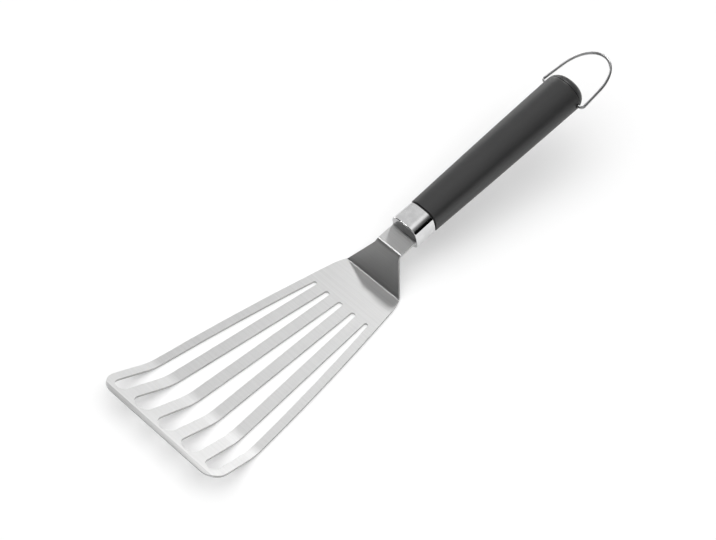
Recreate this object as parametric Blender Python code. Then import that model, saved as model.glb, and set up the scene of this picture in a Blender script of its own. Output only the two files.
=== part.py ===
"""Griddle spatula: one cut and bent sheet of steel, a plated ferrule, a hollow moulded grip and a wire hanging loop.

Metres, +Z up. The flat of the blade lies on z = 0, the raised lip is at -X and the hanging loop at +X.
The middle of the overall length is at x = 0.
"""

import math

import bmesh
import bpy
from mathutils import Vector
from mathutils.geometry import delaunay_2d_cdt

# Sheet of the blade, neck and tang
SHEET = 0.0015
LIP_LENGTH = 0.0401
LIP_ANGLE = math.radians(21.5)
KNEE_RADIUS = 0.035
FLAT_LENGTH = 0.14835
NECK_ANGLE = math.radians(56.7)
NECK_LENGTH = 0.02474
HEEL_INNER_RADIUS = 0.0015
TANG_RISE = math.radians(8.45)
SHOULDER_INNER_RADIUS = 0.0025
TANG_SHOWING = 0.0140

# Outline of the sheet
LIP_HALF = 0.0536
LIP_CORNER = 0.0110
HEEL_HALF = 0.0252
HEEL_CORNER = 0.0400
SIDE_BOW = 0.00255
NECK_HEEL_HALF = 0.0238
WAIST_FROM_HEEL = 0.0229
WAIST_CORNER = 0.0040
TANG_HALF = 0.0105
TAIL_HALF = 0.0068
TAIL_LENGTH = 0.0380
TAIL_CORNER = 0.0012
GRIND_LENGTH = 0.0027
GRIND_EDGE = 0.0007

# Slots and fingers
FRONT_BAR = 0.0047
OUTER_FRONT_BAR = 0.0058
SLOTS_FROM_HEEL = 0.0282
SLOT_HEEL_WIDTH = 0.00375
SLOT_SPREAD = 0.0665
INNER_FINGER = 0.00815
OUTER_FINGER = 0.0059
SLOT_ROUNDNESS = 0.95

# Handle section: half width, half height and squareness, and how high its middle lies over the tang's
SECTION_RISE = 0.00083
GRIP_FRONT_HALF = 0.0113
GRIP_FRONT_HEIGHT = 0.0103
GRIP_FRONT_SQUARE = 3.0
GRIP_REAR_HALF = 0.0142
GRIP_REAR_HEIGHT = 0.0123
GRIP_REAR_SQUARE = 2.1
GRIP_SWELL = 0.0001
GRIP_WALL = 0.0022

# Along the handle from the ferrule's mouth: where the rounded end starts, its radius, and the end plug's seam
DOME_START = 0.1470
DOME_RADIUS = 0.0089
SEAM_AT = 0.1490

# Ferrule, tang core and pins
FERRULE_LENGTH = 0.0168
FERRULE_STEP = 0.0001
FERRULE_WALL = 0.0007
FERRULE_EDGE = 0.0022
COLLAR_THICKNESS = 0.0005
COLLAR_RECESS = 0.0008
CORE_REAR_LENGTH = 0.0240
PIN_DIAMETER = 0.0025
PIN_CHAMFER = 0.0003
PIN_FROM_ENDS = 0.0060
PIN_LENGTH = 0.0110

# End plug
PLUG_SPIGOT = 0.0110
PLUG_WALL = 0.0020
PLUG_FACE = 0.0025

# Hanging loop
WIRE = 0.0020
FOOT_AT = 0.1465
FOOT_SPAN = 0.0362
FOOT_REACH = 0.0108
FOOT_BEND = 0.0025
LOOP_LENGTH = 0.0409
LOOP_BOW_WIDTH = 0.0330
LOOP_BOW_LENGTH = 0.0226
FOOT_HOLE_CLEARANCE = 0.0006

# Gaps between touching pieces, and how far a cutting shape runs past what it cuts
GAP = 0.0003
TANG_SIDE_GAP = 0.00015
CUT_MARGIN = 0.005

# How finely round forms are divided
RING_POINTS = 48
GRIP_STATIONS = 12
EDGE_STEPS = 5
DOME_STEPS = 8
KNEE_STEPS = 10
BEND_STEPS = 8
CORNER_STEPS = 8
SIDE_STEPS = 8
PIN_SIDES = 16
WIRE_RINGS = 10
WIRE_CORNERS = 4

# Angles over which an edge between two faces stays sharp
SHARP = math.radians(35)
BLADE_SHARP = math.radians(25)
# Triangle filling of an outline: the kind that leaves its holes open, and how near points count as one
FILL_WITH_HOLES = 2
FILL_TOLERANCE = 1e-7
# Handle length that makes a cubic curve follow a quarter of a circle, as a share of its radius
QUARTER_HANDLE = 0.5523


def clear_scene():
    for obj in list(bpy.data.objects):
        bpy.data.objects.remove(obj)


def material(name, colour, roughness, metallic):
    made = bpy.data.materials.new(name)
    made.use_nodes = True
    made.diffuse_color = (*colour, 1.0)
    shader = made.node_tree.nodes["Principled BSDF"]
    shader.inputs["Base Color"].default_value = (*colour, 1.0)
    shader.inputs["Roughness"].default_value = roughness
    shader.inputs["Metallic"].default_value = metallic
    return made


def place(name, data, finish=None, parent=None):
    obj = bpy.data.objects.new(name, data)
    bpy.context.collection.objects.link(obj)
    obj.parent = parent
    if finish:
        obj.data.materials.append(finish)
    return obj


def mesh_of(name, bm, sharp=SHARP):
    bmesh.ops.recalc_face_normals(bm, faces=bm.faces)
    mesh = bpy.data.meshes.new(name)
    bm.to_mesh(mesh)
    bm.free()
    mesh.shade_smooth()
    mesh.set_sharp_from_angle(angle=sharp)
    return mesh


def cut(obj, cutter):
    """Takes the cutter's volume out of the object."""
    cutter.hide_render = True
    cutter.display_type = "WIRE"
    modifier = obj.modifiers.new(cutter.name, "BOOLEAN")
    modifier.object = cutter
    modifier.operation = "DIFFERENCE"
    modifier.solver = "EXACT"


# Bent sheet: its centre plane seen from the side is a run of straights and arcs, from the front edge to the tail


def sheet_spans():
    """(start, length, x, z, heading, curvature) of each straight and arc, with start measured along the sheet."""
    heel_radius = HEEL_INNER_RADIUS + SHEET / 2
    shoulder_radius = SHOULDER_INNER_RADIUS + SHEET / 2
    shoulder_angle = NECK_ANGLE - TANG_RISE
    knee_tangent = KNEE_RADIUS * math.tan(LIP_ANGLE / 2)
    heel_tangent = heel_radius * math.tan(NECK_ANGLE / 2)
    shoulder_tangent = shoulder_radius * math.tan(shoulder_angle / 2)
    tang = TANG_SHOWING + FERRULE_WALL + TAIL_LENGTH
    runs = [
        (LIP_LENGTH - knee_tangent, 0.0),
        (KNEE_RADIUS * LIP_ANGLE, 1 / KNEE_RADIUS),
        (FLAT_LENGTH - knee_tangent - heel_tangent, 0.0),
        (heel_radius * NECK_ANGLE, 1 / heel_radius),
        (NECK_LENGTH - heel_tangent - shoulder_tangent, 0.0),
        (shoulder_radius * shoulder_angle, -1 / shoulder_radius),
        (tang - shoulder_tangent, 0.0),
    ]
    spans = []
    start, x, z, heading = 0.0, 0.0, 0.0, -LIP_ANGLE
    for length, curvature in runs:
        spans.append((start, length, x, z, heading, curvature))
        x, z, heading = along(spans[-1], length)
        start += length
    return spans


def along(span, distance):
    """Point and heading a distance into one straight or arc."""
    _, _, x, z, heading, curvature = span
    if curvature == 0.0:
        return x + distance * math.cos(heading), z + distance * math.sin(heading), heading
    turned = heading + distance * curvature
    x += (math.sin(turned) - math.sin(heading)) / curvature
    z -= (math.cos(turned) - math.cos(heading)) / curvature
    return x, z, turned


SPANS = sheet_spans()
LIP, KNEE, FLAT, HEEL, NECK, SHOULDER, TANG = SPANS
HEEL_AT = HEEL[0] + HEEL[1] / 2
TAIL_AT = TANG[0] + TANG[1]
MOUTH_AT = TAIL_AT - TAIL_LENGTH - FERRULE_WALL


def bent(distance, offset):
    """Side view place of a point of the flat blank: distance from the front edge, and offset from the centre plane."""
    span = max((s for s in SPANS if s[0] <= max(distance, 0.0)), key=lambda s: s[0])
    x, z, heading = along(span, distance - span[0])
    return x - offset * math.sin(heading), z + offset * math.cos(heading)


# The frame of the handle: its axis is the tang's centre plane, from the ferrule's mouth

FLAT_DROP = bent(HEEL[0], 0.0)[1]
MOUTH = bent(MOUTH_AT, 0.0)
GRIP_START = FERRULE_LENGTH + COLLAR_THICKNESS + 2 * GAP
HANDLE_END = DOME_START + DOME_RADIUS
LOOP_END_AT = FOOT_AT + LOOP_LENGTH
LOOP_END_X = MOUTH[0] + LOOP_END_AT * math.cos(TANG_RISE) - SECTION_RISE * math.sin(TANG_RISE) + WIRE / 2
FRONT_END_X = -SHEET / 2 * math.sin(LIP_ANGLE)
SHIFT_X = -(LOOP_END_X + FRONT_END_X) / 2
SHIFT_Z = SHEET / 2 - FLAT_DROP


# Outlines


def corner(before, point, after, radius, steps=CORNER_STEPS):
    """Points of the arc that rounds off one corner of an outline."""
    to_before = (before - point).normalized()
    to_after = (after - point).normalized()
    half = to_before.angle(to_after) / 2
    tangent = radius / math.tan(half)
    centre = point + (to_before + to_after).normalized() * (radius / math.sin(half))
    first = point + to_before * tangent - centre
    turn = (point + to_after * tangent - centre).angle_signed(first)
    points = []
    for step in range(steps + 1):
        angle = turn * step / steps
        cos, sin = math.cos(angle), math.sin(angle)
        points.append(centre + Vector((first.x * cos - first.y * sin, first.x * sin + first.y * cos)))
    return points


def rounded(corners):
    """Closed outline of (x, y, radius) corners, with radius 0 left as a plain point."""
    points = []
    for index, (x, y, radius) in enumerate(corners):
        here = Vector((x, y))
        if radius == 0.0:
            points.append(here)
            continue
        before = Vector(corners[index - 1][:2])
        after = Vector(corners[(index + 1) % len(corners)][:2])
        points.extend(corner(before, here, after, radius))
    return points


def side_half(distance):
    """Half width of the blade at a distance from the front edge: a straight taper with a slight outward bow."""
    share = 1 - distance / HEEL_AT
    return HEEL_HALF + (LIP_HALF - HEEL_HALF) * share + 4 * SIDE_BOW * share * (1 - share)


def heel_corner():
    """Place where the straight edge of the neck, run on past the heel, meets the side of the blade."""
    neck_slope = (NECK_HEEL_HALF - TANG_HALF) / WAIST_FROM_HEEL
    side_slope = (LIP_HALF - HEEL_HALF + 4 * SIDE_BOW) / HEEL_AT
    ahead = (HEEL_HALF - NECK_HEEL_HALF) / (neck_slope - side_slope)
    return HEEL_AT - ahead, NECK_HEEL_HALF + neck_slope * ahead, HEEL_CORNER


def blade_outline():
    step_down = MOUTH_AT + FERRULE_WALL
    half = [
        (TAIL_AT, TAIL_HALF, TAIL_CORNER),
        (step_down, TAIL_HALF, TAIL_CORNER / 2),
        (step_down, TANG_HALF, 0.0),
        (HEEL_AT + WAIST_FROM_HEEL, TANG_HALF, WAIST_CORNER),
        heel_corner(),
    ]
    for step in range(1, SIDE_STEPS):
        distance = HEEL_AT * (1 - step / SIDE_STEPS)
        half.append((distance, side_half(distance), 0.0))
    half.append((0.0, LIP_HALF, LIP_CORNER))
    other = [(distance, -y, radius) for distance, y, radius in reversed(half)]
    return rounded(half + other)


SLOTS_START = HEEL_AT - SLOTS_FROM_HEEL


def slot_edges(number, distance):
    """The two edges of a slot, counted 0 at the middle, 1 and 2 outwards, at a distance from the front edge."""
    width = SLOT_HEEL_WIDTH + SLOT_SPREAD * (SLOTS_START - distance)
    if number == 0:
        return -width / 2, width / 2
    inner = width / 2 + INNER_FINGER
    if number == 1:
        return inner, inner + width
    return inner + width + INNER_FINGER, side_half(distance) - OUTER_FINGER


def slot_end(number, distance):
    """Inner and outer corner of a slot's end, each with the radius that makes the end all but a half circle."""
    inner, outer = slot_edges(number, distance)
    radius = SLOT_ROUNDNESS * (outer - inner) / 2
    return (distance, inner, radius), (distance, outer, radius)


def slot_outline(number, side):
    end = OUTER_FRONT_BAR if number == 2 else FRONT_BAR
    heel_inner, heel_outer = slot_end(number, SLOTS_START)
    lip_inner, lip_outer = slot_end(number, end)
    outer, inner = [], []
    for step in range(1, SIDE_STEPS):
        distance = SLOTS_START + (end - SLOTS_START) * step / SIDE_STEPS
        edges = slot_edges(number, distance)
        outer.append((distance, edges[1], 0.0))
        inner.append((distance, edges[0], 0.0))
    corners = [heel_inner, heel_outer, *outer, lip_outer, lip_inner, *reversed(inner)]
    return rounded([(distance, side * y, radius) for distance, y, radius in corners])


def anticlockwise(outline):
    """The outline's points in the order that has its inside on the left."""
    pairs = zip(outline, outline[1:] + outline[:1])
    return outline if sum(here.cross(after) for here, after in pairs) > 0 else outline[::-1]


def blank():
    """Flat blank punched from the sheet: local x is the distance from the front edge, z the thickness."""
    bm = bmesh.new()
    outlines = [blade_outline(), slot_outline(0, 1)]
    outlines += [slot_outline(number, side) for number in (1, 2) for side in (1, -1)]
    points, rings = [], []
    for outline in outlines:
        rings.append(range(len(points), len(points) + len(outline)))
        points += anticlockwise(outline)
    filled = delaunay_2d_cdt(points, [], rings, FILL_WITH_HOLES, FILL_TOLERANCE)
    verts = [bm.verts.new((*point, -SHEET / 2)) for point in filled[0]]
    for face in filled[2]:
        bm.faces.new([verts[index] for index in face])
    raised = bmesh.ops.extrude_face_region(bm, geom=bm.faces[:])["geom"]
    bmesh.ops.translate(bm, verts=[g for g in raised if isinstance(g, bmesh.types.BMVert)], vec=(0, 0, SHEET))
    bmesh.ops.recalc_face_normals(bm, faces=bm.faces)
    return bm


def fold_lines():
    """Distances from the front edge at which the sheet is divided so that it can bend."""
    lines = [GRIND_LENGTH]
    for (start, length, *_), steps in ((KNEE, KNEE_STEPS), (HEEL, BEND_STEPS), (SHOULDER, BEND_STEPS)):
        lines += [start + length * step / steps for step in range(steps + 1)]
    return lines


def make_blade(finish):
    bm = blank()
    for line in fold_lines():
        geometry = bm.verts[:] + bm.edges[:] + bm.faces[:]
        bmesh.ops.bisect_plane(bm, geom=geometry, dist=1e-7, plane_co=(line, 0, 0), plane_no=(1, 0, 0))
    for vert in bm.verts:
        distance, offset = vert.co.x, vert.co.z
        if offset > 0 and distance < GRIND_LENGTH:
            offset -= (SHEET - GRIND_EDGE) * (1 - distance / GRIND_LENGTH)
        x, z = bent(distance, offset)
        vert.co = (x + SHIFT_X, -vert.co.y, z + SHIFT_Z)
    return place("blade", mesh_of("blade", bm, sharp=BLADE_SHARP), finish)


# Handle pieces, all made along the handle's own axis


def section(at, half, height, square, points=RING_POINTS):
    """One ring of a squarish oval, across the handle's axis."""
    ring = []
    for index in range(points):
        angle = 2 * math.pi * index / points
        cos, sin = math.cos(angle), math.sin(angle)
        reach = (abs(cos) / half) ** square + (abs(sin) / height) ** square
        reach = reach ** (-1 / square)
        ring.append(Vector((at, reach * cos, SECTION_RISE + reach * sin)))
    return ring


def grip_section(at, inset=0.0):
    """One ring of the grip or end plug, at a distance from the ferrule's mouth: past DOME_START it draws in."""
    share = min((at - GRIP_START) / (DOME_START - GRIP_START), 1.0)
    swell = 4 * GRIP_SWELL * share * (1 - share)
    half = GRIP_FRONT_HALF + (GRIP_REAR_HALF - GRIP_FRONT_HALF) * share + swell
    height = GRIP_FRONT_HEIGHT + (GRIP_REAR_HEIGHT - GRIP_FRONT_HEIGHT) * share + swell
    square = GRIP_FRONT_SQUARE + (GRIP_REAR_SQUARE - GRIP_FRONT_SQUARE) * share
    into_dome = max(at - DOME_START, 0.0)
    inset += DOME_RADIUS - math.sqrt(DOME_RADIUS**2 - into_dome**2)
    return section(at, half - inset, height - inset, square)


def ferrule_section(at, inset=0.0):
    inset += FERRULE_STEP
    return section(at, GRIP_FRONT_HALF - inset, GRIP_FRONT_HEIGHT - inset, GRIP_FRONT_SQUARE)


def loft(rings, closed=False):
    """Skin over a run of rings, with its ends capped, or joined to each other where closed."""
    bm = bmesh.new()
    loops = [[bm.verts.new(point) for point in ring] for ring in rings]
    count = len(loops[0])
    pairs = list(zip(loops, loops[1:]))
    if closed:
        pairs.append((loops[-1], loops[0]))
    for first, second in pairs:
        for index in range(count):
            after = (index + 1) % count
            bm.faces.new((first[index], first[after], second[after], second[index]))
    if not closed:
        bm.faces.new(reversed(loops[0]))
        bm.faces.new(loops[-1])
    return bm


def rounded_front(thickness):
    """Rings of the ferrule's rounded front edge, from its flank to its flat face, at a depth under the outside."""
    radius = FERRULE_EDGE - thickness
    rings = []
    for step in range(EDGE_STEPS + 1):
        angle = math.pi / 2 * step / EDGE_STEPS
        at = FERRULE_EDGE - radius * math.sin(angle)
        rings.append(ferrule_section(at, FERRULE_EDGE - radius * math.cos(angle)))
    return rings


def box(name, low, high, parent):
    bm = bmesh.new()
    bmesh.ops.create_cube(bm, size=1.0)
    for vert in bm.verts:
        vert.co = [l + (c + 0.5) * (h - l) for c, l, h in zip(vert.co, low, high)]
    return place(name, mesh_of(name, bm), parent=parent)


def rod(name, radius, length, middle, axis, parent, finish=None, chamfer=0.0):
    """Round bar along Y or Z, with its ends chamfered where asked."""
    bm = bmesh.new()
    bmesh.ops.create_cone(
        bm, cap_ends=True, segments=PIN_SIDES, radius1=radius, radius2=radius, depth=length
    )
    if chamfer:
        rims = [edge for edge in bm.edges if abs(edge.verts[0].co.z - edge.verts[1].co.z) < radius / 100]
        bmesh.ops.bevel(bm, geom=rims, offset=chamfer, segments=1, affect="EDGES")
    obj = place(name, mesh_of(name, bm), finish, parent)
    obj.location = middle
    if axis == "Y":
        obj.rotation_euler.x = math.pi / 2
    return obj


def make_ferrule(finish, handle):
    """Plated cap pressed from thin sheet, with a rounded front edge and a slot that the tang passes through."""
    outside = [ferrule_section(FERRULE_LENGTH)] + rounded_front(0.0)
    inside = [ferrule_section(FERRULE_LENGTH, FERRULE_WALL)] + rounded_front(FERRULE_WALL)
    ferrule = place("ferrule", mesh_of("ferrule", loft(inside[::-1] + outside)), finish, handle)
    half, thick = TANG_HALF + TANG_SIDE_GAP, SHEET / 2 + GAP
    low, high = (-CUT_MARGIN, -half, -thick), (FERRULE_EDGE, half, thick)
    cut(ferrule, box("ferrule_slot_cutter", low, high, handle))
    return ferrule


def pin_places():
    return GRIP_START + PIN_FROM_ENDS, FERRULE_WALL + TAIL_LENGTH - PIN_FROM_ENDS


def make_core(finish, handle):
    """Moulded core: a nose in the ferrule, a thin collar that parts it from the grip, and a tail in the grip."""
    collar_start = FERRULE_LENGTH + GAP
    collar_end = collar_start + COLLAR_THICKNESS
    rings = rounded_front(FERRULE_WALL + GAP)[::-1]
    rings.append(ferrule_section(collar_start, FERRULE_WALL + GAP))
    rings += [ferrule_section(at, COLLAR_RECESS) for at in (collar_start, collar_end)]
    rings += [grip_section(at, GRIP_WALL + GAP) for at in (collar_end, GRIP_START + CORE_REAR_LENGTH)]
    core = place("tang_core", mesh_of("tang_core", loft(rings)), finish, handle)
    half, thick = TAIL_HALF + GAP, SHEET / 2 + GAP
    pocket_end = FERRULE_WALL + TAIL_LENGTH + GAP
    cut(core, box("tang_pocket_cutter", (-CUT_MARGIN, -half, -thick), (pocket_end, half, thick), handle))
    for name, at in zip(("front", "rear"), pin_places()):
        radius, length = PIN_DIAMETER / 2 + GAP, PIN_LENGTH + 2 * GAP
        cut(core, rod(f"core_{name}_pin_cutter", radius, length, (at, 0, 0), "Z", handle))
    return core


def make_pins(finish, handle, blade):
    """Two short pins through the core and the tang, which lock the tang in the core."""
    for name, at in zip(("front", "rear"), pin_places()):
        radius = PIN_DIAMETER / 2
        rod(f"tang_{name}_pin", radius, PIN_LENGTH, (at, 0, 0), "Z", handle, finish, PIN_CHAMFER)
        cut(blade, rod(f"tang_{name}_pin_cutter", radius + GAP, CUT_MARGIN, (at, 0, 0), "Z", handle))


def make_grip(finish, handle):
    """Hollow moulding, open at both ends, with a hole in each side for the feet of the hanging loop."""
    straight = DOME_START - GRIP_START
    places = [GRIP_START + straight * step / GRIP_STATIONS for step in range(GRIP_STATIONS + 1)]
    places += [(DOME_START + SEAM_AT) / 2, SEAM_AT]
    outside = [grip_section(at) for at in places]
    inside = [grip_section(at, GRIP_WALL) for at in reversed(places)]
    grip = place("grip", mesh_of("grip", loft(outside + inside, closed=True)), finish, handle)
    cut(grip, foot_hole("grip_foot_cutter", handle))
    return grip


def foot_hole(name, handle):
    length = 2 * GRIP_REAR_HALF + 2 * CUT_MARGIN
    return rod(name, WIRE / 2 + FOOT_HOLE_CLEARANCE, length, (FOOT_AT, 0, SECTION_RISE), "Y", handle)


def make_plug(finish, handle):
    """End plug: a domed end that carries on the grip's outside, and a cup that holds the feet of the loop."""
    seat = SEAM_AT + GAP
    start = seat - PLUG_SPIGOT
    cup_inset = GRIP_WALL + GAP
    first = math.asin((seat - DOME_START) / DOME_RADIUS)
    dome = []
    for step in range(DOME_STEPS + 1):
        angle = first + (math.pi / 2 - first) * step / DOME_STEPS
        dome.append(grip_section(DOME_START + DOME_RADIUS * math.sin(angle)))
    hollow = [grip_section(at, cup_inset + PLUG_WALL) for at in (HANDLE_END - PLUG_FACE, seat, start)]
    cup = [grip_section(at, cup_inset) for at in (start, DOME_START, seat)]
    plug = place("end_plug", mesh_of("end_plug", loft(hollow + cup + dome)), finish, handle)
    cut(plug, foot_hole("plug_foot_cutter", handle))
    return plug


def make_loop(finish, handle):
    """Bent wire bail. Its feet turn inwards on one line, which is the line it swings about."""
    pivot = place("loop_pivot", None, parent=handle)
    pivot.location = (FOOT_AT, 0, SECTION_RISE)
    curve = bpy.data.curves.new("hanging_loop", "CURVE")
    curve.dimensions = "3D"
    curve.resolution_u = WIRE_RINGS
    curve.bevel_depth = WIRE / 2
    curve.bevel_resolution = WIRE_CORNERS
    curve.use_fill_caps = True
    curve.twist_mode = "Z_UP"
    foot_half, bow_half = FOOT_SPAN / 2, LOOP_BOW_WIDTH / 2
    foot_end = foot_half - FOOT_REACH
    bend_in = foot_half - FOOT_BEND
    bow_start = LOOP_LENGTH - LOOP_BOW_LENGTH
    bow_pull = QUARTER_HANDLE * LOOP_BOW_LENGTH
    leg_way = Vector((bow_start, bow_half - foot_half)).normalized()

    def on_leg(start, reach):
        return start[0] + leg_way.x * reach, start[1] + leg_way.y * reach

    outer, bow = (0, foot_half), (bow_start, bow_half)
    after_bend = FOOT_BEND * (1 - QUARTER_HANDLE)
    half = [
        ((0, foot_end), (0, foot_end), (0, bend_in - FOOT_BEND)),
        ((0, bend_in), (0, bend_in - FOOT_BEND), (0, bend_in + QUARTER_HANDLE * FOOT_BEND)),
        (on_leg(outer, FOOT_BEND), on_leg(outer, after_bend), on_leg(outer, 2 * FOOT_BEND)),
        (bow, on_leg(bow, -FOOT_BEND), on_leg(bow, bow_pull)),
    ]
    tip_pull = QUARTER_HANDLE * bow_half
    tip = ((LOOP_LENGTH, 0), (LOOP_LENGTH, tip_pull), (LOOP_LENGTH, -tip_pull))
    mirrored = [[(x, -y) for x, y in (point, right, left)] for point, left, right in reversed(half)]
    knots = half + [tip] + mirrored
    spline = curve.splines.new("BEZIER")
    spline.bezier_points.add(len(knots) - 1)
    for knot, (point, left, right) in zip(spline.bezier_points, knots):
        knot.handle_left_type = knot.handle_right_type = "FREE"
        knot.co = (*point, 0)
        knot.handle_left = (*left, 0)
        knot.handle_right = (*right, 0)
    return place("hanging_loop", curve, finish, pivot)


def main():
    clear_scene()
    steel = material("satin_steel", (0.80, 0.80, 0.79), 0.28, 1.0)
    plated = material("bright_plating", (0.86, 0.86, 0.87), 0.08, 1.0)
    wire = material("plated_wire", (0.62, 0.62, 0.62), 0.18, 1.0)
    black = material("satin_black_moulding", (0.035, 0.035, 0.036), 0.45, 0.0)
    core_black = material("core_moulding", (0.02, 0.02, 0.02), 0.6, 0.0)
    pin_steel = material("pin_steel", (0.55, 0.55, 0.56), 0.35, 1.0)

    blade = make_blade(steel)
    handle = place("handle_axis", None)
    handle.location = (MOUTH[0] + SHIFT_X, 0, MOUTH[1] + SHIFT_Z)
    handle.rotation_euler.y = -TANG_RISE
    make_ferrule(plated, handle)
    make_core(core_black, handle)
    make_pins(pin_steel, handle, blade)
    make_grip(black, handle)
    make_plug(black, handle)
    make_loop(wire, handle)


main()
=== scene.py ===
"""Griddle spatula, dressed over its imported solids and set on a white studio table.

Metres, +Z up. Every piece lies at rest where its solid is, and its object sits at the origin.
"""

import math

import bmesh
import bpy
from mathutils import Matrix, Vector


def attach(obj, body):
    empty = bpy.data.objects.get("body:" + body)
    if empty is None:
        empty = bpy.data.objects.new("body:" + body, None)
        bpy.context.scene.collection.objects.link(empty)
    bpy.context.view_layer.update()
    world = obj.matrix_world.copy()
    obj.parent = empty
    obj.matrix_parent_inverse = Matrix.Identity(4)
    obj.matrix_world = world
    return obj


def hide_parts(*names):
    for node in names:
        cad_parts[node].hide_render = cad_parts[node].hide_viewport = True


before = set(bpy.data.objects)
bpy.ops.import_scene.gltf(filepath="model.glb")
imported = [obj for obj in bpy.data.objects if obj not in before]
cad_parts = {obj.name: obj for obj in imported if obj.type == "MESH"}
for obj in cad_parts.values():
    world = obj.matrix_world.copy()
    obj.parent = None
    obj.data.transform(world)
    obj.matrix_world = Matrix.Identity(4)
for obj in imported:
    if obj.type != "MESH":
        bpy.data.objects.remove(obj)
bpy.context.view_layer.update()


# Blade, neck and tang
# One sheet of stainless steel 1.5 mm thick, punched out with its five slots and ground thin along the front edge.
# It is satin brushed from end to end, its cut edges are broken by tumbling, and it is folded up at the heel and
# back at the shoulder.

BROKEN_EDGE = 0.00013
LIP_TILT = math.radians(21.5)
NECK_TILT = math.radians(56.7)
TANG_TILT = math.radians(8.45)
KNEE_X, HEEL_X, SHOULDER_X = -0.162, -0.0140, -0.0004
GROUND_X = -0.1966
BENDS_FROM_X, BENDS_TO_X = -0.0175, 0.003
LEAST_BENT, MOST_BENT, TANG_MARGIN = 3, 34, 1
SATIN, SHADED_PUNCHED_EDGE, GROUND_EDGE, BURNISHED_BEND = range(4)
STREAK_SPACING = 0.22


def take_up(piece):
    """Selects this piece alone and makes it the active one."""
    bpy.ops.object.select_all(action="DESELECT")
    piece.select_set(True)
    bpy.context.view_layer.objects.active = piece


def cast_of(node, name):
    """A new piece with the shape of a CAD solid, its loose triangles joined and its flats made whole."""
    piece = bpy.data.objects.new(name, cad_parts[node].data.copy())
    bpy.context.scene.collection.objects.link(piece)
    piece.data.materials.clear()
    take_up(piece)
    bpy.ops.mesh.customdata_custom_splitnormals_clear()
    bpy.ops.object.mode_set(mode="EDIT")
    bpy.ops.mesh.select_all(action="SELECT")
    bpy.ops.mesh.remove_doubles(threshold=0.000002)
    bpy.ops.mesh.dissolve_limited(angle_limit=math.radians(0.3))
    bpy.ops.object.mode_set(mode="OBJECT")
    return piece


def finish_with(piece, kind, **settings):
    """Adds a modifier and applies it."""
    modifier = piece.modifiers.new(kind.lower(), kind)
    for name, value in settings.items():
        setattr(modifier, name, value)
    take_up(piece)
    bpy.ops.object.modifier_apply(modifier=modifier.name)


def break_edges(piece, width, over=math.radians(40), segments=2):
    """Rounds every edge sharper than an angle, then lets the large faces rule the shading."""
    finish_with(
        piece, "BEVEL", width=width, segments=segments, limit_method="ANGLE", angle_limit=over, use_clamp_overlap=True,
        miter_outer="MITER_ARC", loop_slide=True,
    )
    take_up(piece)
    bpy.ops.object.shade_smooth_by_angle(angle=math.radians(50))
    finish_with(piece, "WEIGHTED_NORMAL", mode="FACE_AREA", weight=50, keep_sharp=True)


class Shade:
    """One output of a material's nodes. Sums and products of shades add the Math nodes that work them out."""

    def __init__(self, finish, socket):
        self.finish, self.socket = finish, socket

    def sum(self, operation, first, second):
        return self.finish.node("Math", {"operation": operation}, {0: first, 1: second})

    def __add__(self, other):
        return self.sum("ADD", self, other)

    def __radd__(self, other):
        return self.sum("ADD", other, self)

    def __sub__(self, other):
        return self.sum("SUBTRACT", self, other)

    def __rsub__(self, other):
        return self.sum("SUBTRACT", other, self)

    def __mul__(self, other):
        return self.sum("MULTIPLY", self, other)

    def __rmul__(self, other):
        return self.sum("MULTIPLY", other, self)

    def __abs__(self):
        return self.finish.node("Math", {"operation": "ABSOLUTE"}, {0: self})


class Finish:
    """A material under way: its constants go on the Principled shader, and any other node comes from one method."""

    def __init__(self, name, **constants):
        self.material = bpy.data.materials.new(name)
        self.material.use_nodes = True
        self.tree = self.material.node_tree
        self.shader = self.tree.nodes["Principled BSDF"]
        self.set(**constants)

    def node(self, kind, settings=None, inputs=None, out=0):
        made = self.tree.nodes.new("ShaderNode" + kind)
        for name, value in (settings or {}).items():
            if name == "stops":
                self.fill_ramp(made.color_ramp, value)
            else:
                setattr(made, name, value)
        for key, value in (inputs or {}).items():
            self.feed(made.inputs[key], value)
        return Shade(self, made.outputs[out])

    def fill_ramp(self, ramp, stops):
        while len(ramp.elements) < len(stops):
            ramp.elements.new(0.5)
        for element, (place, level) in zip(ramp.elements, stops):
            element.position = place
            element.color = (level, level, level, 1.0)

    def feed(self, socket, value):
        if isinstance(value, Shade):
            self.tree.links.new(value.socket, socket)
        elif socket.type == "RGBA" and len(value) == 3:
            socket.default_value = (*value, 1.0)
        else:
            socket.default_value = value

    def set(self, **inputs):
        for name, value in inputs.items():
            self.feed(self.shader.inputs[name.replace("_", " ")], value)

    def place(self, stretch=(1, 1, 1)):
        """Object coordinates, stretched for a pattern."""
        return self.node("Mapping", inputs={"Vector": self.node("TexCoord", out="Object"), "Scale": stretch})

    def noise(self, at, scale, detail=2.0, roughness=0.5):
        inputs = {"Vector": at, "Scale": scale, "Detail": detail, "Roughness": roughness}
        return self.node("TexNoise", {"noise_dimensions": "3D"}, inputs)

    def between(self, share, low, high):
        """A colour between two colours."""
        return self.node("Mix", {"data_type": "RGBA"}, {0: share, 6: low, 7: high}, out=2)

    def ramp(self, value, *stops):
        return self.node("ValToRGB", {"stops": stops}, {0: value})

    def raise_grain(self, height, depth, strength=1.0):
        bump = self.node("Bump", inputs={"Height": height, "Distance": depth, "Strength": strength})
        self.set(Normal=bump)


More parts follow.
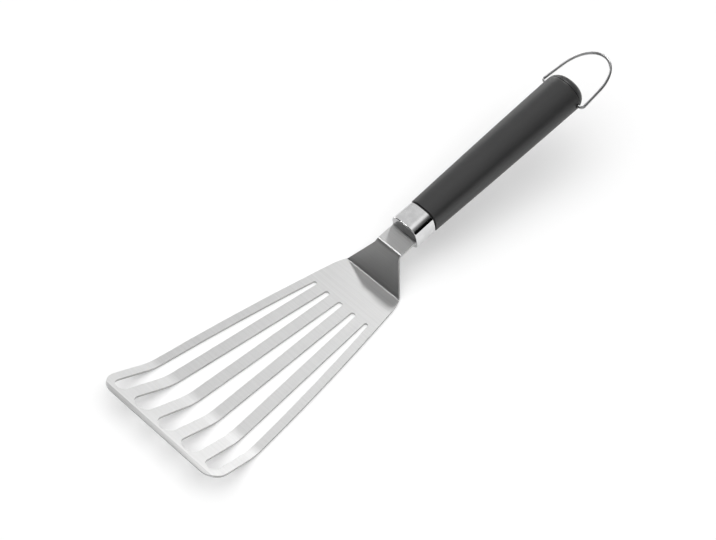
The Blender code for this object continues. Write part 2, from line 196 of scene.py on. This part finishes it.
def brushed_steel(name, light, dark, rough, spread=0.66, across=(2600, 14, 2600), depth=0.000006):
    """Stainless steel whose brushing spreads light across its lines, with duller streaks and soft clouding."""
    steel = Finish(name, Metallic=1.0, Anisotropic=spread)
    lines = steel.noise(steel.place(across), 1.0, 3.0, 0.6)
    streaks = steel.noise(steel.place([count * STREAK_SPACING for count in across]), 1.0, 3.0, 0.6)
    clouds = steel.noise(steel.place((45, 45, 45)), 1.0, 3.0)
    share = steel.ramp(0.35 * lines + 0.45 * streaks + 0.2 * clouds, (0.38, 0.0), (0.62, 1.0))
    steel.set(Base_Color=steel.between(share, dark, light))
    steel.set(Roughness=rough + 0.14 * (lines - 0.5) + 0.10 * (streaks - 0.5) + 0.08 * (clouds - 0.5))
    steel.raise_grain(lines, depth)
    return steel.material


def sheet_normal(x):
    """The way the sheet's upper side faces at a distance along the object."""
    tilt = -LIP_TILT if x < KNEE_X else 0.0 if x < HEEL_X else NECK_TILT if x < SHOULDER_X else TANG_TILT
    return Vector((-math.sin(tilt), 0.0, math.cos(tilt)))


def finish_of(face):
    """The finish of a face: satin, but for the cut edges, the ground front and the bends at the heel and shoulder. The
    cut edges are darker, partly as duller cut steel and partly as painted shade for the dark they reflect.
    """
    facing = abs(face.normal.dot(sheet_normal(face.center.x)))
    tilt = math.degrees(math.atan2(-face.normal.x, face.normal.z)) % 180
    off_tang = abs(tilt - math.degrees(TANG_TILT)) > TANG_MARGIN
    in_bends = BENDS_FROM_X < face.center.x < BENDS_TO_X and abs(face.normal.y) < 0.1
    if in_bends and off_tang and LEAST_BENT < tilt < MOST_BENT:
        return BURNISHED_BEND
    if face.center.x > GROUND_X:
        return SHADED_PUNCHED_EDGE if facing < 0.6 else SATIN
    return GROUND_EDGE if facing < 0.985 and face.center.x < GROUND_X else SATIN


blade = cast_of("blade", "satin_blade")
# The punched edges' darker colour is partly duller cut steel and partly painted shade, standing in for the dark they
# reflect.
for steel in (
    brushed_steel("satin_steel", (0.71, 0.71, 0.708), (0.63, 0.63, 0.628), 0.48, 0.62, depth=0.00003),
    brushed_steel("punched_edge_steel_and_painted_shade", (0.52, 0.52, 0.518), (0.38, 0.38, 0.378), 0.45, 0.0, (300, 300, 2600)),
    brushed_steel("ground_edge_steel", (0.60, 0.60, 0.598), (0.46, 0.46, 0.458), 0.44, 0.66, (3200, 8, 3200)),
    brushed_steel("burnished_bend_steel", (0.66, 0.66, 0.658), (0.58, 0.58, 0.578), 0.31, 0.2),
):
    blade.data.materials.append(steel)
for face in blade.data.polygons:
    face.material_index = finish_of(face)
break_edges(blade, BROKEN_EDGE)
# The shader's own tangent turns about the middle of the texture space, which is put so far off that the brushing
# spreads light along X everywhere.
blade.data.use_auto_texspace = False
blade.data.texspace_location, blade.data.texspace_size = (0.0, -100.0, 0.0), (1.0, 1.0, 1.0)
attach(blade, "tool")
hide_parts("blade")


# Ferrule
# A cap of thin steel sheet, bright chrome plated, with a rounded front edge and a slot for the tang. It is pushed over
# the core's nose. Like all the handle it is made along the tang's line, in squarish ovals, and then turned and moved
# to where the tang is.

HANDLE = Matrix.Translation((0.0135609, 0.0, 0.0234851)) @ Matrix.Rotation(-TANG_TILT, 4, "Y")
OVAL_RISE = 0.00083
RING = 96
FERRULE_LENGTH, FERRULE_WALL, CORE_EDGE = 0.0168, 0.0007, 0.0022
RIM_RADIUS, FACE_DOME = 0.0007, 0.0005
FERRULE_HALF, FERRULE_HEIGHT = 0.0112, 0.0102
FRONT_SQUARE, REAR_SQUARE = 3.8, 3.0
TANG_SLOT_HALF, TANG_SLOT_THICK = 0.01065, 0.00105
EDGE_STEPS, FACE_STEPS = 12, 10
CUT_MARGIN = 0.005


def squarish_oval(at, half, height, square):
    """One ring across the handle's line."""
    ring = []
    for index in range(RING):
        angle = 2 * math.pi * index / RING
        cos, sin = math.cos(angle), math.sin(angle)
        reach = ((abs(cos) / half) ** square + (abs(sin) / height) ** square) ** (-1 / square)
        ring.append(HANDLE @ Vector((at, reach * cos, OVAL_RISE + reach * sin)))
    return ring


def drawn_through(name, rings, closed=False):
    """A piece drawn through rings, closed end to end where its wall turns back inside."""
    bm = bmesh.new()
    loops = [[bm.verts.new(point) for point in ring] for ring in rings]
    pairs = list(zip(loops, loops[1:])) + ([(loops[-1], loops[0])] if closed else [])
    for first, second in pairs:
        for index in range(RING):
            after = (index + 1) % RING
            bm.faces.new((first[index], first[after], second[after], second[index]))
    if not closed:
        bm.faces.new(reversed(loops[0]))
        bm.faces.new(loops[-1])
    bmesh.ops.recalc_face_normals(bm, faces=bm.faces)
    mesh = bpy.data.meshes.new(name)
    bm.to_mesh(mesh)
    bm.free()
    piece = bpy.data.objects.new(name, mesh)
    bpy.context.scene.collection.objects.link(piece)
    return piece


def block(low, high):
    """A box in the handle's frame, for cutting."""
    bpy.ops.object.select_all(action="DESELECT")
    bpy.ops.mesh.primitive_cube_add(size=1.0)
    made = bpy.context.object
    size = Vector(high) - Vector(low)
    middle = (Vector(high) + Vector(low)) / 2
    made.data.transform(HANDLE @ Matrix.Translation(middle) @ Matrix.Diagonal((*size, 1.0)))
    return made


def rod_across(at, radius, length):
    """A round bar across the handle, for cutting."""
    bpy.ops.object.select_all(action="DESELECT")
    bpy.ops.mesh.primitive_cylinder_add(vertices=40, radius=radius, depth=length)
    made = bpy.context.object
    made.data.transform(HANDLE @ Matrix.Translation((at, 0, OVAL_RISE)) @ Matrix.Rotation(math.pi / 2, 4, "X"))
    return made


def cut_away(piece, cutter):
    finish_with(piece, "BOOLEAN", object=cutter, operation="DIFFERENCE", solver="EXACT")
    bpy.data.objects.remove(cutter)


def ferrule_ring(at, inset):
    square = REAR_SQUARE + (FRONT_SQUARE - REAR_SQUARE) * (1 - at / FERRULE_LENGTH)
    return squarish_oval(at, FERRULE_HALF - inset, FERRULE_HEIGHT - inset, square)


def rounded_front(start, inset, radius, turn=math.pi / 2):
    """Rings from the flank round the front edge towards the face."""
    rings = []
    for step in range(EDGE_STEPS + 1):
        angle = turn * step / EDGE_STEPS
        rings.append(ferrule_ring(start - radius * math.sin(angle), inset + radius * (1 - math.cos(angle))))
    return rings


def domed_face(inset):
    """Rings of the gently domed face, from its rim inwards."""
    rings = []
    for step in range(1, FACE_STEPS):
        share = 1 - step / FACE_STEPS
        half, height = share * (FERRULE_HALF - inset), share * (FERRULE_HEIGHT - inset)
        rings.append(squarish_oval(FACE_DOME * share**2, half, height, FRONT_SQUARE))
    return rings


rim_turn = math.pi / 2 - 2 * FACE_DOME / FERRULE_HEIGHT
rim_start = FACE_DOME + RIM_RADIUS * math.sin(rim_turn)
outside = [ferrule_ring(FERRULE_LENGTH, 0.00008), ferrule_ring(FERRULE_LENGTH - 0.00008, 0.0)]
outside += rounded_front(rim_start, 0.0, RIM_RADIUS, rim_turn)
outside += domed_face(RIM_RADIUS * (1 - math.cos(rim_turn)))
inside = [ferrule_ring(FERRULE_LENGTH, FERRULE_WALL)]
inside += rounded_front(CORE_EDGE, FERRULE_WALL, CORE_EDGE - FERRULE_WALL)
ferrule = drawn_through("chromed_ferrule", inside[::-1] + outside)
slot_corner = Vector((CORE_EDGE, TANG_SLOT_HALF, TANG_SLOT_THICK))
cut_away(ferrule, block((-CUT_MARGIN, -TANG_SLOT_HALF, -TANG_SLOT_THICK), slot_corner))
take_up(ferrule)
bpy.ops.object.shade_smooth_by_angle(angle=math.radians(30))
finish_with(ferrule, "WEIGHTED_NORMAL", mode="FACE_AREA", weight=50, keep_sharp=True)

chrome = Finish("bright_chrome", Metallic=1.0)
wiping = chrome.noise(chrome.place((60, 700, 700)), 1.0, 3.0, 0.6)
haze = chrome.noise(chrome.place((220, 220, 220)), 1.0, 2.0)
clear_share = chrome.ramp(haze, (0.35, 0.0), (0.65, 1.0))
chrome.set(Base_Color=chrome.between(clear_share, (0.69, 0.69, 0.694), (0.77, 0.77, 0.772)))
chrome.set(Roughness=0.055 + 0.05 * (wiping - 0.45) + 0.04 * (haze - 0.5))
chrome.raise_grain(wiping, 0.000006, 0.15)
ferrule.data.materials.append(chrome.material)

# The front face is rougher than the flanks, and its darker colour is painted shade for the dark it reflects.
shaded_face_finish = Finish("chrome_face_painted_shade", Metallic=1.0)
face_haze = shaded_face_finish.noise(shaded_face_finish.place((300, 300, 300)), 1.0, 2.0)
shaded_face_finish.set(Base_Color=shaded_face_finish.between(face_haze, (0.40, 0.40, 0.404), (0.54, 0.54, 0.544)))
shaded_face_finish.set(Roughness=0.24 + 0.10 * (face_haze - 0.5))
shaded_face_finish.raise_grain(face_haze, 0.00001, 0.3)
ferrule.data.materials.append(shaded_face_finish.material)
forward = HANDLE.to_3x3() @ Vector((-1.0, 0.0, 0.0))
for face in ferrule.data.polygons:
    if face.normal.dot(forward) > 0.9:
        face.material_index = 1
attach(ferrule, "tool")
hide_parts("ferrule")


# Grip and end plug
# A hollow moulding in black heat-proof plastic with a fine satin spark texture, its front edge rounded over, and a
# domed plug of the same plastic pushed into its rear end. Both are drilled through for the feet of the loop.

GRIP_START, DOME_START, DOME_RADIUS, SEAM_AT = 0.0179, 0.1470, 0.0089, 0.1490
GRIP_WALL, GRIP_EDGE, SEAM_EDGE = 0.0022, 0.0004, 0.00022
GRIP_HALF, GRIP_HEIGHT, GRIP_SQUARE = 0.0113, 0.0103, 3.0
HALF_GROWTH, HEIGHT_GROWTH, SQUARE_LOSS, SWELL = 0.0029, 0.0020, 0.9, 0.0001
PLUG_GAP, CUP_OUTSIDE, CUP_INSIDE, CUP_FLOOR_AT, CUP_MOUTH_AT = 0.0003, 0.0025, 0.0045, 0.1539, 0.1383
FOOT_AT, FOOT_HOLE, FOOT_HOLE_LENGTH = 0.1465, 0.0016, 0.05
GRIP_STATIONS, DOME_STEPS = 36, 28


def grip_ring(at, inset=0.0):
    """A ring of the grip or plug, at a distance from the ferrule's mouth: past the dome's start it draws in."""
    share = min((at - GRIP_START) / (DOME_START - GRIP_START), 1.0)
    swell = 4 * SWELL * share * (1 - share)
    half = GRIP_HALF + HALF_GROWTH * share + swell
    height = GRIP_HEIGHT + HEIGHT_GROWTH * share + swell
    into_dome = max(at - DOME_START, 0.0)
    inset += DOME_RADIUS - math.sqrt(DOME_RADIUS**2 - into_dome**2)
    return squarish_oval(at, half - inset, height - inset, GRIP_SQUARE - SQUARE_LOSS * share)


def rolled(at, way, radius, steps=5):
    """Rings that round an end edge over, from the end face to the flank."""
    rings = []
    for step in range(steps + 1):
        angle = math.pi / 2 * step / steps
        rings.append(grip_ring(at + way * radius * (1 - math.sin(angle)), radius * (1 - math.cos(angle))))
    return rings[::-1]


straight_start = GRIP_START + 0.001
straight_length = DOME_START - GRIP_START - 0.001
straight = [straight_start + straight_length * step / GRIP_STATIONS for step in range(GRIP_STATIONS + 1)]
straight.append((DOME_START + SEAM_AT) / 2)
grip_outside = rolled(GRIP_START, 1, GRIP_EDGE) + [grip_ring(at) for at in straight]
grip_outside += rolled(SEAM_AT, -1, SEAM_EDGE)[::-1]
grip_inside = [grip_ring(at, GRIP_WALL) for at in (SEAM_AT, DOME_START, GRIP_START)]
grip = drawn_through("satin_grip", grip_outside + grip_inside, closed=True)

plug_seat = SEAM_AT + PLUG_GAP
plug_rings = rolled(plug_seat, 1, SEAM_EDGE)
first_angle = math.asin((plug_seat + SEAM_EDGE - DOME_START) / DOME_RADIUS)
for step in range(1, DOME_STEPS):
    angle = first_angle + (math.pi / 2 - first_angle) * step / DOME_STEPS
    plug_rings.append(grip_ring(DOME_START + DOME_RADIUS * math.sin(angle)))
plug_rings.append(grip_ring(DOME_START + DOME_RADIUS))
cup = [grip_ring(at, CUP_INSIDE) for at in (CUP_FLOOR_AT, plug_seat, CUP_MOUTH_AT)]
cup += [grip_ring(at, CUP_OUTSIDE) for at in (CUP_MOUTH_AT, DOME_START, plug_seat)]
plug = drawn_through("satin_end_plug", cup + plug_rings)

moulding = Finish("satin_black_plastic", IOR=1.44)
spark = moulding.noise(moulding.place(), 2600.0, 2.0)
flow = moulding.noise(moulding.place((25, 120, 120)), 1.0, 3.0)
rubbed = moulding.noise(moulding.place((60, 60, 60)), 1.0, 2.0)
moulding.set(Base_Color=moulding.between(flow, (0.026, 0.026, 0.0262), (0.034, 0.034, 0.0342)))
moulding.set(Roughness=0.43 + 0.10 * (rubbed - 0.5) + 0.08 * (spark - 0.5))
moulding.raise_grain(spark, 0.00002, 0.30)
for piece, node in ((grip, "grip"), (plug, "end_plug")):
    cut_away(piece, rod_across(FOOT_AT, FOOT_HOLE, FOOT_HOLE_LENGTH))
    take_up(piece)
    bpy.ops.object.shade_smooth_by_angle(angle=math.radians(30))
    piece.data.materials.append(moulding.material)
    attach(piece, "tool")
    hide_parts(node)


# Core and its pins
# A black moulded core fills the ferrule and reaches into the grip, and shows only as the thin collar that parts the
# two. Two short steel pins lock the tang in it, out of sight.

core_plastic = Finish("matt_core_plastic", IOR=1.5)
core_grain = core_plastic.noise(core_plastic.place(), 1500.0, 2.0)
core_plastic.set(Base_Color=core_plastic.between(core_grain, (0.010, 0.010, 0.010), (0.018, 0.018, 0.018)))
core_plastic.set(Roughness=0.55 + 0.15 * (core_grain - 0.5))
core_plastic.raise_grain(core_grain, 0.00002, 0.3)


def dress(name, material):
    """Gives a CAD solid that stays its finish."""
    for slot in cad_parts[name].material_slots:
        slot.material = material


dress("tang_core", core_plastic.material)
pin_finish = brushed_steel("drawn_pin_steel", (0.62, 0.62, 0.62), (0.45, 0.45, 0.45), 0.35, 0.0, (900, 900, 40))
dress("tang_front_pin", pin_finish)
dress("tang_rear_pin", pin_finish)


# Hanging loop
# A bail of 2 mm steel wire, bent to a long bow and bright plated. Its two feet turn inwards into the holes in the
# handle's sides, and it swings about them.

WIRE_RADIUS = 0.0010
FOOT_HALF, FOOT_REACH, FOOT_BEND = 0.0181, 0.0108, 0.0025
LOOP_LENGTH, BOW_HALF, BOW_LENGTH = 0.0409, 0.0165, 0.0226
QUARTER = 0.5523
LOOP_FRAME = HANDLE @ Matrix.Translation((FOOT_AT, 0.0, OVAL_RISE))

bow_start = LOOP_LENGTH - BOW_LENGTH
leg_way = Vector((bow_start, BOW_HALF - FOOT_HALF)).normalized()


def on_leg(start, reach):
    """A point on a leg's line, some way from its start."""
    return start[0] + leg_way.x * reach, start[1] + leg_way.y * reach


corner, bow = (0.0, FOOT_HALF), (bow_start, BOW_HALF)
bend_in, foot_end = FOOT_HALF - FOOT_BEND, FOOT_HALF - FOOT_REACH
knots = [
    ((0.0, foot_end), (0.0, foot_end), (0.0, bend_in - FOOT_BEND)),
    ((0.0, bend_in), (0.0, bend_in - FOOT_BEND), (0.0, bend_in + QUARTER * FOOT_BEND)),
    (on_leg(corner, FOOT_BEND), on_leg(corner, FOOT_BEND * (1 - QUARTER)), on_leg(corner, 2 * FOOT_BEND)),
    (bow, on_leg(bow, -FOOT_BEND), on_leg(bow, QUARTER * BOW_LENGTH)),
]
other_leg = [tuple((x, -y) for x, y in (point, right, left)) for point, left, right in reversed(knots)]
knots.append(((LOOP_LENGTH, 0.0), (LOOP_LENGTH, QUARTER * BOW_HALF), (LOOP_LENGTH, -QUARTER * BOW_HALF)))
knots += other_leg
bpy.ops.object.select_all(action="DESELECT")
bpy.ops.curve.primitive_bezier_curve_add()
loop = bpy.context.object
loop.name = loop.data.name = "plated_loop"
line = loop.data.splines[0]
line.bezier_points.add(len(knots) - 2)
for knot, (point, left, right) in zip(line.bezier_points, knots):
    knot.handle_left_type = knot.handle_right_type = "FREE"
    knot.co, knot.handle_left, knot.handle_right = (*point, 0.0), (*left, 0.0), (*right, 0.0)
loop.data.resolution_u = 24
loop.data.bevel_depth = WIRE_RADIUS
loop.data.bevel_resolution = 8
loop.data.use_fill_caps = True
loop.data.twist_mode = "Z_UP"
take_up(loop)
bpy.ops.object.convert(target="MESH")
loop.data.transform(LOOP_FRAME @ loop.matrix_world)
loop.matrix_world = Matrix.Identity(4)
finish_with(loop, "BEVEL", width=0.0003, segments=3, limit_method="ANGLE", angle_limit=math.radians(60))
take_up(loop)
bpy.ops.object.shade_smooth_by_angle(angle=math.radians(40))

plating = Finish("plated_wire", Metallic=1.0)
draw = plating.noise(plating.place((150, 900, 900)), 1.0, 3.0)
dull = plating.noise(plating.place((180, 180, 180)), 1.0, 2.0)
plating.set(Base_Color=plating.between(dull, (0.40, 0.40, 0.402), (0.52, 0.52, 0.522)))
plating.set(Roughness=0.29 + 0.10 * (dull - 0.45) + 0.05 * (draw - 0.5))
plating.raise_grain(draw, 0.000008, 0.2)
loop.data.materials.append(plating.material)
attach(loop, "loop")
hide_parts("hanging_loop")


# Studio
# A white table that runs on without an edge under one wide sky lamp, with two compact lamps, low behind the handle and
# high at its side, that only the gloss shows. A lit panel and a white sweep stand behind it in a dim room.

TABLE_SIZE, TABLE_DROP = 12.0, 0.0001
PANEL_LEAN = 0.31

bpy.ops.object.select_all(action="DESELECT")
bpy.ops.mesh.primitive_plane_add(size=TABLE_SIZE, location=(0.0, 0.0, -TABLE_DROP))
table = bpy.context.object
table.name = "studio_table"
paper = Finish("white_table", Roughness=0.9)
paper.set(Base_Color=(0.72, 0.72, 0.72), Specular_IOR_Level=0.0, Emission_Strength=0.25)
rays = [paper.node("LightPath", out=ray) for ray in ("Is Camera Ray", "Is Glossy Ray", "Is Transmission Ray")]
paper.set(Emission_Color=paper.between(rays[0] + rays[1] + rays[2], (0.0, 0.0, 0.0), (1.0, 1.0, 1.0)))
table.data.materials.append(paper.material)


def direction(bearing, rise):
    """A direction in the room: its bearing from +X towards +Y, and how far it stands up."""
    b, r = math.radians(bearing), math.radians(rise)
    return Vector((math.cos(b) * math.cos(r), math.sin(b) * math.cos(r), math.sin(r)))


def lamp(name, rise, bearing, distance, power, width):
    """A round soft lamp in a direction from the object, turned to face it."""
    data = bpy.data.lights.new(name, "AREA")
    data.shape, data.size, data.energy = "DISK", width, power
    made = bpy.data.objects.new(name, data)
    bpy.context.scene.collection.objects.link(made)
    made.location = direction(bearing, rise) * distance
    made.rotation_euler = (-made.location).to_track_quat("-Z", "Y").to_euler()
    made.visible_camera = False
    return made


lamp("sky_lamp", 90.0, 0.0, 3.0, 226.0, 7.0).visible_glossy = False
lamp("lamp_behind_handle", 39.0, 25.0, 6.0, 94.0, 0.55).visible_diffuse = False
lamp("high_side_lamp", 63.0, 97.0, 3.0, 5.6, 0.42).visible_diffuse = False


class Room(Finish):
    """The world's nodes, in the same way as a material's."""

    def __init__(self):
        world = bpy.data.worlds.new("studio_room")
        bpy.context.scene.world = world
        world.use_nodes = True
        self.tree = world.node_tree
        self.shader = self.tree.nodes["Background"]
        self.way = self.node("TexCoord", out="Generated")

    def greater(self, first, second):
        return self.node("Math", {"operation": "MAXIMUM"}, {0: first, 1: second})

    def fade(self, value, dark, lit):
        """0 to 1, softly, as a value goes from one level to another."""
        return self.node("MapRange", {"interpolation_type": "SMOOTHERSTEP"}, {0: value, 1: dark, 2: lit})

    def along(self, line):
        """How far the way looked at goes along a line."""
        return self.node("VectorMath", {"operation": "DOT_PRODUCT"}, {0: self.way, 1: line}, out="Value")

    def toward(self, bearing, rise, narrow, wide):
        """1 in a direction of the room, down to 0 at an angle from it."""
        low, high = math.cos(math.radians(wide)), math.cos(math.radians(narrow))
        return self.fade(self.along(direction(bearing, rise)), low, high)


room = Room()
off_panel = abs(room.along(HANDLE.to_3x3() @ Vector((1, 0, 0))) - PANEL_LEAN)
panel = room.fade(off_panel, 0.10, 0.05) * room.toward(70, 42, 76, 94)
sweep = room.toward(72, 6, 12, 34) * room.fade(off_panel, 0.08, 0.16)
behind_camera = room.toward(226, 50, 16, 42)
zenith = room.toward(66, 88, 8, 22)
right_dark = room.toward(-73, 16, 12, 30)
walls = 0.03 + 0.74 * panel + 5.2 * sweep + 0.55 * behind_camera + 0.3 * zenith
mirrored = room.greater(room.node("LightPath", out="Is Glossy Ray"), room.node("LightPath", out="Is Transmission Ray"))
seen = room.node("LightPath", out="Is Camera Ray")
room.feed(room.shader.inputs["Strength"], room.greater(seen, mirrored * walls * (1 - 0.95 * right_dark)))
room.feed(room.shader.inputs["Color"], (1.0, 1.0, 1.0))


# Camera
# It stands as in the photograph: high in front and to the left of the lip, with a long lens, and looks at a point near
# the middle of the object.

LENS, SENSOR = 139.3, 36.0
CAMERA_BEARING, CAMERA_RISE, CAMERA_DISTANCE = math.radians(-43.889), math.radians(51.456), 1.7865
LOOKED_AT = Vector((-0.01525, 0.0128, 0.0))
NEAREST, FARTHEST = 0.05, 50.0

camera = bpy.data.objects.new("camera", bpy.data.cameras.new("camera"))
bpy.context.scene.collection.objects.link(camera)
camera.data.lens, camera.data.sensor_width = LENS, SENSOR
camera.data.clip_start, camera.data.clip_end = NEAREST, FARTHEST
side = math.sin(CAMERA_BEARING) * math.cos(CAMERA_RISE)
front = -math.cos(CAMERA_BEARING) * math.cos(CAMERA_RISE)
camera.location = LOOKED_AT + Vector((side, front, math.sin(CAMERA_RISE))) * CAMERA_DISTANCE
camera.rotation_euler = (math.pi / 2 - CAMERA_RISE, 0.0, CAMERA_BEARING)
bpy.context.scene.camera = camera
bpy.context.scene.view_settings.view_transform = "Standard"
